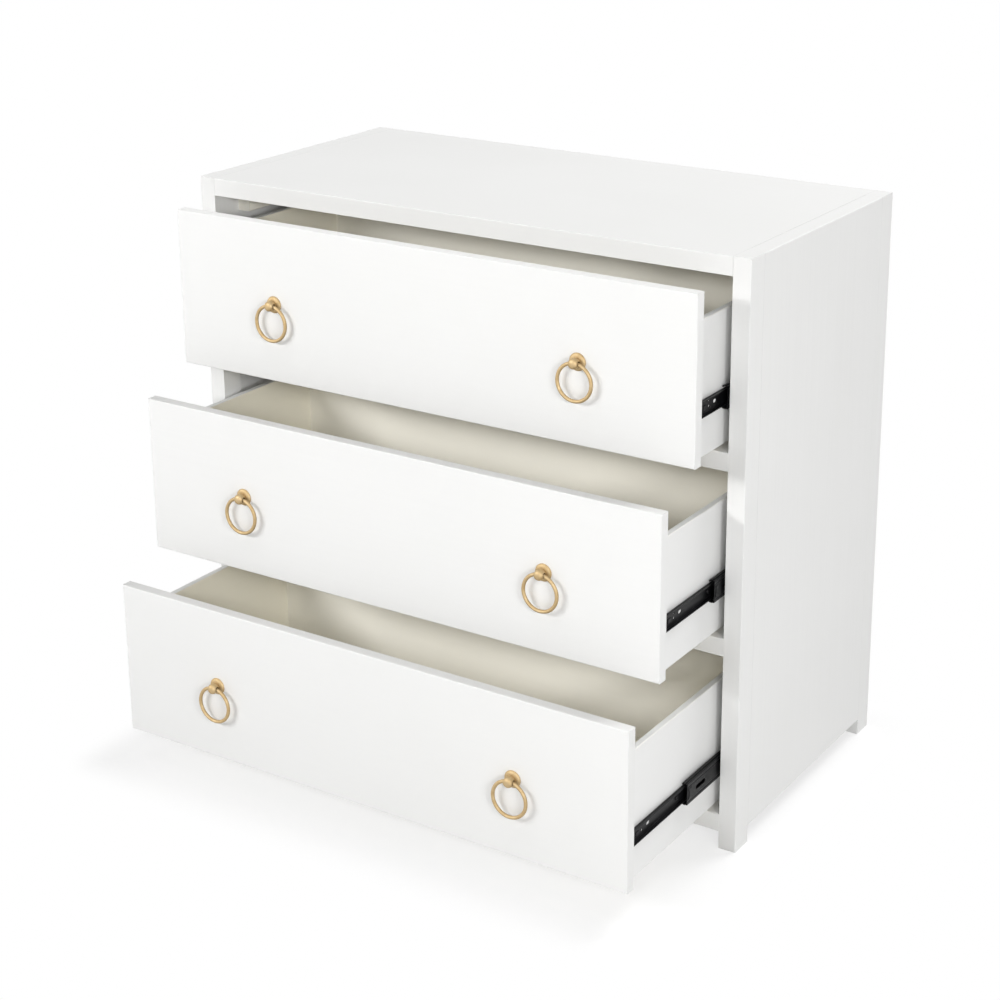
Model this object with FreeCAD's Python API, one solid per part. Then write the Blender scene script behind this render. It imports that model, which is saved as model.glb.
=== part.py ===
import FreeCAD, Part
import math
import os

# Campaign chest: a post-and-panel case with three drawers on ball bearing slides, two ring pulls each.
# Sizes are millimetres. X runs to the right, Y to the back, Z up. While the pieces are made, X = 0 is the
# middle of the chest, Y = 0 is the front face of its posts and Z = 0 is the floor.

# Case
case_width = 864.0
case_depth = 420.0
case_height = 800.0
post_width = 25.0
post_depth = 35.0
foot_height = 24.0
top_thickness = 25.0
rail_height = 25.0
rail_depth = 45.0
rear_rail_depth = 20.0
panel_thickness = 12.0
back_thickness = 6.0
back_lap = 8.0
cleat_width = 20.0
cleat_height = 35.0
cleat_setback = 29.0
batten_height = 60.0

# Case joints
tenon_length = 12.0
tenon_share = 0.5
tongue_length = 6.0
tongue_thickness = 4.0
top_tongue_thickness = 8.0

# Drawers, and how far each one stands open
openings = {"top": 81.0, "middle": 160.0, "bottom": 232.0}
front_thickness = 15.0
front_gap = 3.0
wall_thickness = 9.0
rear_room = 86.0
box_drop = 40.0
box_rise = 4.0
bottom_thickness = 5.0
bottom_lift = 10.0
groove_play = 0.5

# Drawer slides: three nested channels of bent sheet, with a ball cage between each two
slide_thickness = 12.7
slide_heights = {"top": 68.0, "middle": 69.0, "bottom": 64.0}
slide_setback = 5.0
slide_tail = 14.0
member_step = 2.0
sheet = 1.0
ball_space = 3.75
drawer_member_height = 20.6
middle_tip = 1.6
cabinet_tip = 3.0
lip_length = 2.5
cage_sheet = 0.7
cage_gap = 0.7
outer_cage_length = 130.0
inner_cage_length = 70.0
front_slot_place = 46.5
front_slot_length = 8.0
front_slot_width = 4.8
rear_slot_place = 181.0
rear_slot_length = 6.0
rear_slot_width = 13.0
middle_slot_place = 35.0
middle_slot_length = 25.0
middle_slot_width = 6.0

# Share of its drawer's travel that each middle member makes
middle_ratios = {"top": 0.25, "middle": 0.275, "bottom": 0.45}

# Ring pulls
pull_spacing = 478.0
pull_drop = 1.0
rosette_radius = 11.75
rosette_edge = 1.2
rosette_height = 3.6
neck_radius = 5.2
ball_radius = 7.1
ring_radius = 24.45
wire_radius = 2.4
ring_play = 0.4
ring_sides = 24
wire_sides = 8
post_sides = 12
ball_bands = 6

# Softened edges
case_edge = 1.5
joint_edge = 0.4
front_edge = 1.5
wall_edge = 1.0
bend_radius = 1.2

# Places worked out from the sizes above
half_width = case_width / 2
inner_half = half_width - post_width
panel_inside = half_width - panel_thickness
top_under = case_height - top_thickness
rear_post_front = case_depth - post_depth
back_front = case_depth - back_thickness
opening_height = (top_under - foot_height - 3 * rail_height) / 3
front_height = opening_height - 2 * front_gap
front_half = inner_half - front_gap
box_half = inner_half - slide_thickness
box_depth = case_depth - front_thickness - rear_room
slide_length = box_depth - slide_tail
slide_front = front_thickness + slide_setback
groove_depth = wall_thickness / 2
pivot_reach = rosette_height + math.sqrt(ball_radius ** 2 - neck_radius ** 2)
pull_reach = pivot_reach + ball_radius
levels = ["bottom", "middle", "top"]
frame_shift = (max(openings.values()) + pull_reach - case_depth) / 2

V = FreeCAD.Vector
shortest_edge = 1e-6
nodes = {}


def outline(points, corners):
    """Closed wire through flat points; a corner value above 0 rounds the corner, one below 0 bevels it."""
    starts = []
    ends = []
    edges = []
    for index, corner in enumerate(points):
        before = (points[index - 1] - corner).normalize()
        after = (points[(index + 1) % len(points)] - corner).normalize()
        half_angle = before.getAngle(after) / 2
        size = corners[index]
        run = abs(size) / math.tan(half_angle)
        starts.append(corner + before * run)
        ends.append(corner + after * run)
        if size > 0:
            middle = corner + (before + after).normalize() * size * (1 / math.sin(half_angle) - 1)
            edges.append(Part.Arc(starts[-1], middle, ends[-1]).toShape())
        if size < 0:
            edges.append(Part.makeLine(starts[-1], ends[-1]))
    for index, end in enumerate(ends):
        start = starts[(index + 1) % len(points)]
        if end.distanceToPoint(start) > shortest_edge:
            edges.append(Part.makeLine(end, start))
    return Part.Wire(Part.__sortEdges__(edges))


def prism(plane, pairs, corners, start, length):
    """Extrude an outline drawn in the xy, xz or yz plane along the third axis."""
    place = {
        "xy": lambda u, v, w: V(u, v, w),
        "xz": lambda u, v, w: V(u, w, v),
        "yz": lambda u, v, w: V(w, u, v),
    }[plane]
    wire = outline([place(u, v, start) for u, v in pairs], corners)
    return Part.Face(wire).extrude(place(0, 0, length))


def bar(plane, u0, u1, v0, v1, start, end, corners):
    """Rectangular bar; the corner values belong to (u0,v0), (u1,v0), (u1,v1), (u0,v1)."""
    return prism(plane, [(u0, v0), (u1, v0), (u1, v1), (u0, v1)], corners, start, end - start)


def block(x0, x1, y0, y1, z0, z1):
    return Part.makeBox(x1 - x0, y1 - y0, z1 - z0, V(x0, y0, z0))


def mirrored(shape):
    return shape.mirror(V(0, 0, 0), V(1, 0, 0))


def both(shape):
    """One node that holds a piece of the right side and its mirror image on the left."""
    return Part.makeCompound([mirrored(shape), shape])


def add_pair(name, shape, level=""):
    """Two nodes: a piece of the right side and its mirror image on the left."""
    nodes[name + "_right" + level] = shape
    nodes[name + "_left" + level] = mirrored(shape)


def opening_floor(level):
    return foot_height + rail_height + levels.index(level) * (opening_height + rail_height)


def tenon_span(low, high):
    """The middle part of a rail's width, which its tenon takes."""
    shoulder = (high - low) * (1 - tenon_share) / 2
    return low + shoulder, high - shoulder


def rail_tenons(y0, y1, z0, z1):
    """Stub tenons at both ends of a rail that runs between two posts."""
    reach = inner_half + tenon_length
    return block(-reach, reach, *tenon_span(y0, y1), *tenon_span(z0, z1))


# Case
def side_tongue(play):
    """Tongue along the side panel's two upright edges and its top edge."""
    middle = half_width - panel_thickness / 2
    return block(middle - tongue_thickness / 2, middle + tongue_thickness / 2,
                 post_depth - tongue_length - play, rear_post_front + tongue_length + play,
                 foot_height, top_under + tongue_length + play)


def top_tongue(play):
    """Tongue along both ends of the top panel, as long as the side rails."""
    reach = inner_half + tongue_length + play
    middle = case_height - top_thickness / 2
    return block(-reach, reach, post_depth, rear_post_front,
                 middle - top_tongue_thickness / 2, middle + top_tongue_thickness / 2)


def side_rail_tenon():
    """Stub tenons at both ends of a side rail, above the groove for the side panel."""
    return block(*tenon_span(inner_half, half_width),
                 post_depth - tenon_length, rear_post_front + tenon_length,
                 *tenon_span(top_under + tongue_length + groove_play, case_height))


def front_rail(z0):
    """Rail across the front, level with the posts, with soft front edges."""
    edges = (case_edge, 0, 0, case_edge)
    body = bar("yz", 0, rail_depth, z0, z0 + rail_height, -inner_half, inner_half, edges)
    return body.fuse(rail_tenons(0, post_depth, z0, z0 + rail_height))


def rear_rail():
    y0 = back_front - rear_rail_depth
    body = block(-inner_half, inner_half, y0, back_front, foot_height, foot_height + rail_height)
    return body.fuse(rail_tenons(y0, back_front, foot_height, foot_height + rail_height))


def back_panel():
    reach = inner_half + back_lap
    return block(-reach, reach, back_front, case_depth, foot_height, top_under + back_lap)


def front_post():
    edges = (-joint_edge, case_edge, -joint_edge, -joint_edge)
    post = bar("xy", inner_half, half_width, 0, post_depth, 0, case_height, edges)
    for level in levels:
        z0 = opening_floor(level) - rail_height
        post = post.cut(rail_tenons(0, post_depth, z0, z0 + rail_height))
    return post.cut(side_tongue(groove_play)).cut(side_rail_tenon())


def rear_post():
    edges = (-joint_edge, -joint_edge, case_edge, -joint_edge)
    post = bar("xy", inner_half, half_width, rear_post_front, case_depth, 0, case_height, edges)
    rail_front = back_front - rear_rail_depth
    post = post.cut(rail_tenons(rail_front, back_front, foot_height, foot_height + rail_height))
    post = post.cut(back_panel())
    return post.cut(side_tongue(groove_play)).cut(side_rail_tenon())


def side_panel():
    plain = block(panel_inside, half_width, post_depth, rear_post_front, foot_height, top_under)
    return plain.fuse(side_tongue(0)).removeSplitter()


def side_rail():
    edges = (0, 0, case_edge, -joint_edge)
    rail = bar("xz", inner_half, half_width, top_under, case_height, post_depth, rear_post_front, edges)
    return rail.fuse(side_rail_tenon()).cut(side_tongue(groove_play)).cut(top_tongue(groove_play))


def top_panel():
    edges = (-joint_edge, 0, case_edge, case_edge)
    top = bar("yz", 0, case_depth, top_under, case_height, -inner_half, inner_half, edges)
    return top.fuse(top_tongue(0)).cut(back_panel())


def top_cleat():
    return bar("xz", panel_inside - cleat_width, panel_inside, top_under - cleat_height, top_under,
               post_depth + cleat_setback, rear_post_front, (case_edge, 0, 0, 0))


def slide_batten(level):
    middle = opening_floor(level) + front_gap + slide_heights[level]
    return block(inner_half, panel_inside, post_depth, rear_post_front,
                 middle - batten_height / 2, middle + batten_height / 2)


def build_case():
    add_pair("post_front", front_post())
    add_pair("post_rear", rear_post())
    add_pair("side_panel", side_panel())
    add_pair("side_rail", side_rail())
    add_pair("slide_battens", Part.makeCompound([slide_batten(level) for level in levels]))
    nodes["top_panel"] = top_panel()
    nodes["back_panel"] = back_panel()
    nodes["rear_rail"] = rear_rail()
    nodes["bottom_rail"] = front_rail(foot_height)
    nodes["divider_rail_lower"] = front_rail(opening_floor("middle") - rail_height)
    nodes["divider_rail_upper"] = front_rail(opening_floor("top") - rail_height)
    nodes["top_cleats"] = both(top_cleat())


# Drawers, made shut and then drawn out
def wall_tongue(y0, z0, z1, play):
    """Tongue at both ends of a drawer's front or back wall, half as thick as the wall."""
    reach = box_half - wall_thickness + groove_depth + play
    quarter = wall_thickness / 4
    return block(-reach, reach, y0 + quarter, y0 + 3 * quarter, z0, z1)


def drawer_box(level, front_z):
    wall_z0 = front_z + box_rise
    wall_z1 = front_z + front_height - box_drop
    inside = box_half - wall_thickness
    y_front = front_thickness
    y_back = front_thickness + box_depth - wall_thickness
    y_end = front_thickness + box_depth
    bottom_z = wall_z0 + bottom_lift

    def bottom_board(play):
        reach = inside + groove_depth + play
        return block(-reach, reach, y_front + wall_thickness - groove_depth - play,
                     y_back + groove_depth + play, bottom_z, bottom_z + bottom_thickness)

    groove = bottom_board(groove_play)
    soft_top = (0, 0, -wall_edge, -wall_edge)
    side = bar("xz", inside, box_half, wall_z0, wall_z1, y_front, y_end, soft_top).cut(groove)
    for name, y0 in (("drawer_subfront", y_front), ("drawer_back", y_back)):
        tongue_top = wall_z1 - wall_thickness
        wall = bar("yz", y0, y0 + wall_thickness, wall_z0, wall_z1, -inside, inside, soft_top)
        wall = wall.fuse(wall_tongue(y0, wall_z0, tongue_top, 0)).cut(groove)
        side = side.cut(wall_tongue(y0, wall_z0, tongue_top, groove_play))
        nodes[name + "_" + level] = wall
    add_pair("drawer_side", side, "_" + level)
    nodes["drawer_bottom_" + level] = bottom_board(0)


def drawer_front(front_z):
    """Applied front with rounded front edges."""
    front = block(-front_half, front_half, 0, front_thickness, front_z, front_z + front_height)
    rim = [edge for edge in front.Edges if edge.BoundBox.YMax < front_thickness / 2]
    return front.makeFillet(front_edge, rim)


# Drawer slides; u runs from the drawer's side (0) to the case (slide_thickness), v up from the middle line
def channel(web, tip, height, thickness, lip, bend, middle, start, length):
    """Bent sheet channel: web's back at u = web, flanges to u = tip, and lips of that length turned in."""
    way = math.copysign(thickness, tip - web)
    half = height / 2
    inside = half - thickness
    upper = [(web, half), (tip, half)]
    if lip > 0:
        upper += [(tip, half - lip), (tip - way, half - lip), (tip - way, inside)]
    else:
        upper += [(tip, inside)]
    upper += [(web + way, inside)]
    lower = [(u, -v) for u, v in reversed(upper)]
    corners = [bend] + [0] * (len(upper) - 1)
    pairs = [(box_half + u, middle + v) for u, v in upper + lower]
    return prism("xz", pairs, corners + corners[::-1], start, length)


def web_slot(y, z, size_y, size_z):
    """Cutter with rounded ends for an oblong hole through a member's web."""
    corner = min(size_y, size_z) / 2
    return bar("yz", y - size_y / 2, y + size_y / 2, z - size_z / 2, z + size_z / 2,
               box_half - sheet, box_half + slide_thickness, [corner] * 4)


def build_slides(level, front_z):
    """Members and cages of a drawer's two slides, at the drawer's place."""
    middle = front_z + slide_heights[level]
    drawn = openings[level]
    middle_height = drawer_member_height + 2 * (ball_space + sheet)
    cabinet_height = middle_height + 2 * (ball_space + sheet)
    outer_cage_web = slide_thickness - sheet - cage_gap
    middle_web = outer_cage_web - cage_sheet - cage_gap
    inner_cage_web = middle_web - sheet - cage_gap
    drawer_tip = inner_cage_web - cage_sheet - cage_gap

    cabinet_y = slide_front
    middle_y = slide_front + member_step - drawn * middle_ratios[level]
    drawer_y = slide_front - member_step - drawn
    middle_length = slide_length - 2 * member_step
    outer_cage_y = (cabinet_y + middle_y + middle_length - outer_cage_length) / 2
    inner_cage_y = (middle_y + drawer_y + slide_length - inner_cage_length) / 2

    cabinet = channel(slide_thickness, cabinet_tip, cabinet_height, sheet, lip_length, bend_radius,
                      middle, cabinet_y, slide_length)
    nodes["slide_cabinet_" + level] = both(cabinet)

    member = channel(middle_web, middle_tip, middle_height, sheet, lip_length, bend_radius,
                     middle, middle_y, middle_length)
    middle_slot = web_slot(middle_y + middle_slot_place, middle, middle_slot_length, middle_slot_width)
    nodes["slide_middle_" + level] = both(member.cut(middle_slot))

    drawer = channel(0, drawer_tip, drawer_member_height, sheet, 0, bend_radius,
                     middle, drawer_y, slide_length)
    front_slot = web_slot(drawer_y + front_slot_place, middle, front_slot_length, front_slot_width)
    rear_slot = web_slot(drawer_y + rear_slot_place, middle, rear_slot_length, rear_slot_width)
    nodes["slide_drawer_" + level] = both(drawer.cut(front_slot).cut(rear_slot))

    outer_tip = cabinet_tip + sheet + cage_gap
    outer_height = middle_height + ball_space + cage_sheet
    outer = channel(outer_cage_web, outer_tip, outer_height, cage_sheet, 0, 0,
                    middle, outer_cage_y, outer_cage_length)
    nodes["cage_outer_" + level] = both(outer)

    inner_tip = middle_tip + sheet + cage_gap
    inner_height = drawer_member_height + ball_space + cage_sheet
    inner = channel(inner_cage_web, inner_tip, inner_height, cage_sheet, 0, 0,
                    middle, inner_cage_y, inner_cage_length)
    nodes["cage_inner_" + level] = both(inner)


# Ring pulls
def turned(section, sides, x, y, z):
    """Solid of flat facets: a closed section of (radius, reach) pairs turned about an axis along Y."""
    def at(pair, turn):
        angle = 2 * math.pi * turn / sides
        return V(x + pair[0] * math.sin(angle), y - pair[1], z + pair[0] * math.cos(angle))

    faces = []
    for first, second in zip(section, section[1:] + section[:1]):
        for turn in range(sides):
            corners = [at(first, turn)]
            if second[0] > 0:
                corners += [at(second, turn), at(second, turn + 1)]
            else:
                corners += [at(second, turn)]
            if first[0] > 0:
                corners += [at(first, turn + 1)]
            if len(corners) > 2:
                faces.append(Part.Face(Part.makePolygon(corners + corners[:1])))
    return Part.Solid(Part.Shell(faces))


def pull_post(x, y, z):
    """Domed rosette and ball in one piece, bored across for the ring."""
    dome_radius = neck_radius + (rosette_radius - neck_radius) * math.sqrt(0.5)
    dome_reach = rosette_edge + (rosette_height - rosette_edge) * math.sqrt(0.5)
    section = [(0, 0), (rosette_radius, 0), (rosette_radius, rosette_edge), (dome_radius, dome_reach)]
    neck_angle = math.asin(neck_radius / ball_radius)
    for band in range(ball_bands):
        angle = neck_angle + (math.pi - neck_angle) * band / ball_bands
        section.append((ball_radius * math.sin(angle), pivot_reach - ball_radius * math.cos(angle)))
    section.append((0, pull_reach))
    sag = ring_radius - math.sqrt(ring_radius ** 2 - ball_radius ** 2)
    bore_start = V(x - ball_radius, y - pivot_reach, z)
    bore = Part.makeCylinder(wire_radius + sag + ring_play, 2 * ball_radius, bore_start, V(1, 0, 0))
    return turned(section, post_sides, x, y, z).cut(bore)


def pull_ring(x, y, z):
    """Hanging ring; its pivot is the top of its centre line."""
    section = []
    for twist in range(wire_sides):
        angle = 2 * math.pi * twist / wire_sides
        section.append((ring_radius + wire_radius * math.cos(angle), wire_radius * math.sin(angle)))
    return turned(section, ring_sides, x, y, z - ring_radius)


def build_pulls(level, front_z):
    z = front_z + front_height / 2 - pull_drop
    x = pull_spacing / 2
    nodes["pull_posts_" + level] = both(pull_post(x, 0, z))
    add_pair("pull_ring", pull_ring(x, -pivot_reach, z), "_" + level)


def build_drawer(level):
    front_z = opening_floor(level) + front_gap
    drawer_box(level, front_z)
    nodes["drawer_front_" + level] = drawer_front(front_z)
    build_pulls(level, front_z)
    for name in list(nodes):
        if name.endswith("_" + level):
            nodes[name] = nodes[name].translated(V(0, -openings[level], 0))
    build_slides(level, front_z)


build_case()
for drawer_level in levels:
    build_drawer(drawer_level)

# The origin is the middle of the footprint, on the floor
os.makedirs("parts", exist_ok=True)
for node_name, node_shape in nodes.items():
    node_shape.translated(V(0, frame_shift, 0)).exportStep("parts/" + node_name + ".step")
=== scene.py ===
# %% [markdown]
# # A campaign chest with three open drawers
# The chest is a white lacquered case of posts, panels and rails. Its three drawers run on black ball
# bearing slides, and each one has two brass ring pulls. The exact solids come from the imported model, so
# every board already has its true place and size. This lesson sets up a camera, a floor and soft lamps, and
# then adds what the solids leave out: finishes, smooth brass, rolled slides, bearing balls and screws.

# %% Load the frame
import math

import bmesh
import bpy
from mathutils import Matrix, Vector


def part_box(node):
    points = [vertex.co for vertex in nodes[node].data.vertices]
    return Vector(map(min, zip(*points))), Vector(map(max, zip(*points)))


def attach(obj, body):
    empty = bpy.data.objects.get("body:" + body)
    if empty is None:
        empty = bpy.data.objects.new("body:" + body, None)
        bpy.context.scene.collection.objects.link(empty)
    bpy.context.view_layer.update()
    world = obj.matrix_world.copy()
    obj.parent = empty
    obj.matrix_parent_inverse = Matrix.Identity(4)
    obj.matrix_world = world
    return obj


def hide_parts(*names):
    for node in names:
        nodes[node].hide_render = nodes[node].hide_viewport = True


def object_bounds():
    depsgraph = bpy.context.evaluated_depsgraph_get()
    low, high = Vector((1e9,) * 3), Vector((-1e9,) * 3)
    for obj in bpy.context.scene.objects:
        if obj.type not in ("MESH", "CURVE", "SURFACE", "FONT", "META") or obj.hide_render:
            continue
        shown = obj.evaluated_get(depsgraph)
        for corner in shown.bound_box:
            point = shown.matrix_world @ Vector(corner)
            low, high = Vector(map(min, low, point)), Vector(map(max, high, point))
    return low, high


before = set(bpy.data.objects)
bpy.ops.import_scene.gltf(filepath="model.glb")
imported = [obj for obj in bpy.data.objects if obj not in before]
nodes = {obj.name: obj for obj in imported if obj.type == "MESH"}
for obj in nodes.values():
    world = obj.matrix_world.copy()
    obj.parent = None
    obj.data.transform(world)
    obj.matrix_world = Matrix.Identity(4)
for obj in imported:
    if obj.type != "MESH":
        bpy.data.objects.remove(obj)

mm = 0.001
scene = bpy.context.scene
cad_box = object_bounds()

# %% [markdown]
# ## Camera
# A product photograph of furniture is taken with a long lens from above eye level, so upright edges stay
# nearly parallel. The lens, place and turn below were solved from the corners of the case. A small lens
# shift puts the chest where the photograph frames it without bending those uprights.

# %% Camera
camera_from_corner = Vector((1924.3, -2124.4, 1420.7)) * mm
camera_turn, camera_tilt = 32.04, 17.25
camera_lens, sensor_width = 73.95, 36
camera_shift = (-0.060, -0.150)

case_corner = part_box("post_front_left")[0]
camera = bpy.data.objects.new("camera", bpy.data.cameras.new("camera"))
camera.location = Vector((case_corner.x, case_corner.y, 0)) + camera_from_corner
camera.rotation_euler = (math.radians(90 - camera_tilt), 0, math.radians(camera_turn))
camera.data.lens = camera_lens
camera.data.sensor_width = sensor_width
camera.data.shift_x, camera.data.shift_y = camera_shift
scene.collection.objects.link(camera)
scene.camera = camera
print("camera at", [round(value, 3) for value in camera.location])

# %% [markdown]
# ## Floor
# The chest stands on a seamless white sweep, and a plain square is enough for it. Its paint tells rays apart
# with Light Path. Light that bounces on to the chest meets a pale grey, while the camera and the metal see
# white. Studio shadows are kept faint and short: with the distance from the chest's footprint, the paint
# fades into a plain white glow of strength 1, and only a faint shadow stays close by.

# %% Floor plane
floor_reach = 30.0
floor_mesh = bpy.data.meshes.new("floor")
corners = [(-floor_reach, -floor_reach, 0), (floor_reach, -floor_reach, 0),
           (floor_reach, floor_reach, 0), (-floor_reach, floor_reach, 0)]
floor_mesh.from_pydata(corners, [], [(0, 1, 2, 3)])
floor = bpy.data.objects.new("floor", floor_mesh)
scene.collection.objects.link(floor)
print("floor:", 2 * floor_reach, "m square")

# %% [markdown]
# A Blender material is a network of nodes. A few small helpers keep the networks of this lesson short: one
# starts a material, one does arithmetic, one mixes colours, and one tells rays that see the floor from light
# that bounces off it.

# %% Helpers for materials


def node_material(name):
    """A new material with its node tree, links and main shader."""
    material = bpy.data.materials.new(name)
    material.use_nodes = True
    tree = material.node_tree
    return material, tree.nodes, tree.links, tree.nodes["Principled BSDF"]


def calculate(made, links, operation, *terms):
    """One step of arithmetic; each term may be a number or a socket."""
    step = made.new("ShaderNodeMath")
    step.operation = operation
    for socket, term in zip(step.inputs, terms):
        if isinstance(term, float):
            socket.default_value = term
        else:
            links.new(term, socket)
    return step.outputs[0]


def blend_colours(made, links, factor, first, second):
    """A colour between two others; either one may be a colour or a socket."""
    mix = made.new("ShaderNodeMix")
    mix.data_type = "RGBA"
    links.new(factor, mix.inputs["Factor"])
    for socket, colour in (("A", first), ("B", second)):
        if isinstance(colour, tuple):
            mix.inputs[socket].default_value = (*colour, 1)
        else:
            links.new(colour, mix.inputs[socket])
    return mix.outputs["Result"]


def seen_directly(made, links):
    """1 for rays from the camera and for reflections, 0 for light that bounces on."""
    path = made.new("ShaderNodeLightPath")
    return calculate(made, links, "MAXIMUM", path.outputs["Is Camera Ray"], path.outputs["Is Glossy Ray"])


print("material helpers ready")

# %% Distance from a footprint


def vector_step(made, links, value, operation, other=(0, 0, 0)):
    """One step of arithmetic on a vector; gives the step's outputs."""
    step = made.new("ShaderNodeVectorMath")
    step.operation = operation
    step.inputs[1].default_value = other
    links.new(value, step.inputs[0])
    return step.outputs


def distance_outside(made, links, low, high):
    """Distance of a place on the floor from the footprint of a box; inside it the distance is 0."""
    place = made.new("ShaderNodeTexCoord").outputs["Object"]
    from_middle = vector_step(made, links, place, "SUBTRACT", (low + high) / 2)
    either_side = vector_step(made, links, from_middle["Vector"], "ABSOLUTE")
    past_edge = vector_step(made, links, either_side["Vector"], "SUBTRACT", (high - low) / 2)
    outside = vector_step(made, links, past_edge["Vector"], "MAXIMUM")
    return vector_step(made, links, outside["Vector"], "LENGTH")["Value"]


print("footprint:", [round(edge, 3) for edge in cad_box[1] - cad_box[0]][:2], "m")

# %% Floor paint
pale_grey, plain_white = (0.80, 0.80, 0.80), (1.0, 1.0, 1.0)
white_from, white_to = 0.0, 0.065
white_share_near = 0.68

floor_finish, made, links, shader = node_material("floor_white")
seen = seen_directly(made, links)
near_floor = made.new("ShaderNodeBsdfDiffuse")
links.new(blend_colours(made, links, seen, pale_grey, plain_white), near_floor.inputs["Color"])
far_floor = made.new("ShaderNodeEmission")
far_floor.inputs["Color"].default_value = (*plain_white, 1)
far_floor.inputs["Strength"].default_value = 1.0
fade = made.new("ShaderNodeMapRange")
fade.interpolation_type = "SMOOTHSTEP"
fade.inputs["From Min"].default_value = white_from
fade.inputs["From Max"].default_value = white_to
fade.inputs["To Min"].default_value = white_share_near
links.new(distance_outside(made, links, *cad_box), fade.inputs["Value"])
sweep = made.new("ShaderNodeMixShader")
links.new(calculate(made, links, "MULTIPLY", fade.outputs["Result"], seen), sweep.inputs["Fac"])
links.new(near_floor.outputs[0], sweep.inputs[1])
links.new(far_floor.outputs[0], sweep.inputs[2])
links.new(sweep.outputs[0], made["Material Output"].inputs["Surface"])
floor_mesh.materials.append(floor_finish)
print("floor turns white", white_to / mm, "mm from the chest's footprint")

# %% [markdown]
# ## World
# A studio's walls are bright, so the background is plain white to the camera and in the metal. As light on
# the chest the world is very weak, because light from all around would flatten the forms.

# %% World
world_strength, world_seen = 0.03, 1.0
world = bpy.data.worlds.new("studio")
scene.world = world
world.use_nodes = True
made, links = world.node_tree.nodes, world.node_tree.links
strength = made.new("ShaderNodeMix")
strength.inputs["A"].default_value = world_strength
strength.inputs["B"].default_value = world_seen
links.new(seen_directly(made, links), strength.inputs["Factor"])
background = made["Background"]
background.inputs["Color"].default_value = (*plain_white, 1)
links.new(strength.outputs["Result"], background.inputs["Strength"])
scene.view_settings.view_transform = "Standard"
print("world strength on the chest:", world_strength)

# %% [markdown]
# ## Lamps
# Five soft lamps light the chest. Three strips stand in front, not far from the camera's height: at the
# left, beside the camera and at the right. From there they shine into the open drawers. A large lamp high
# behind lights the top, and a weak one above the front fills in. The larger a lamp, the softer its shadows.

# %% Lamps
chest_middle = (0, 0, 0.45)


def soft_lamp(name, place, aim, size, watts):
    """An area lamp, as wide and high as size says, at a place and turned towards a point."""
    light = bpy.data.lights.new(name, "AREA")
    light.shape = "RECTANGLE"
    light.size, light.size_y = size
    light.energy = watts
    lamp = bpy.data.objects.new(name, light)
    lamp.location = place
    lamp.rotation_euler = (Vector(aim) - Vector(place)).to_track_quat("-Z", "Y").to_euler()
    scene.collection.objects.link(lamp)


soft_lamp("key_left", (-1.80, -2.72, 1.76), chest_middle, (1.6, 0.35), 60)
soft_lamp("fill_camera", (1.93, -2.76, 1.71), chest_middle, (1.0, 0.30), 24)
soft_lamp("rim_behind", (1.39, 2.40, 4.00), chest_middle, (2.2, 2.2), 150)
soft_lamp("side_right", (2.85, -2.00, 1.38), chest_middle, (1.0, 0.40), 43)
soft_lamp("top_front", (-0.60, -1.40, 3.40), chest_middle, (1.6, 1.0), 14)

# %% [markdown]
# ## Finishes
# White lacquer on wood is not one flat colour. Sprayed lacquer has a very fine orange peel, its gloss
# changes a little from place to place, and the grain below shows as faint lines along each board. Noise
# textures on Object coordinates give all three; the grain's noise is stretched along the board, so boards
# that run along X, Y and Z get a finish each.

# %% Noise, ranges and bumps
usual_low, usual_high = 0.3, 0.7


def noise(made, links, scale, detail=2.0):
    """Noise on Object coordinates; scale is waves per metre along X, Y and Z."""
    place = made.new("ShaderNodeTexCoord")
    stretch = made.new("ShaderNodeMapping")
    stretch.inputs["Scale"].default_value = scale
    links.new(place.outputs["Object"], stretch.inputs["Vector"])
    texture = made.new("ShaderNodeTexNoise")
    texture.inputs["Scale"].default_value = 1.0
    texture.inputs["Detail"].default_value = detail
    links.new(stretch.outputs["Vector"], texture.inputs["Vector"])
    return texture.outputs["Fac"]


def spread(made, links, value, low, high):
    """Turns a noise value's usual range into a range of its own."""
    remap = made.new("ShaderNodeMapRange")
    remap.inputs["From Min"].default_value = usual_low
    remap.inputs["From Max"].default_value = usual_high
    remap.inputs["To Min"].default_value = low
    remap.inputs["To Max"].default_value = high
    links.new(value, remap.inputs["Value"])
    return remap.outputs["Result"]


def bumps(made, links, shader, heights):
    """Chains bump nodes; heights are (value, strength, depth in metres)."""
    normal = None
    for value, strength, depth in heights:
        bump = made.new("ShaderNodeBump")
        bump.inputs["Strength"].default_value = strength
        bump.inputs["Distance"].default_value = depth
        links.new(value, bump.inputs["Height"])
        if normal is not None:
            links.new(normal, bump.inputs["Normal"])
        normal = bump.outputs["Normal"]
    links.new(normal, shader.inputs["Normal"])


print("noise helpers ready")

# %% A painted board
smoother, rougher = 0.04, 0.05
cloud_waves, peel_waves = (3, 3, 3), (650, 650, 650)
along_grain, across_grain = 2.5, 220.0
grain_detail = 3.0
grain_tone = 0.98
grain_share = {"X": 0.2, "Y": 0.3, "Z": 0.5}
bump_strength = 0.12
grain_depth, peel_depth = 0.10 * mm, 0.05 * mm


def grain_waves(axis):
    """Waves per metre of grain that runs along an axis."""
    waves = [across_grain] * 3
    waves["XYZ".index(axis)] = along_grain
    return waves


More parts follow.
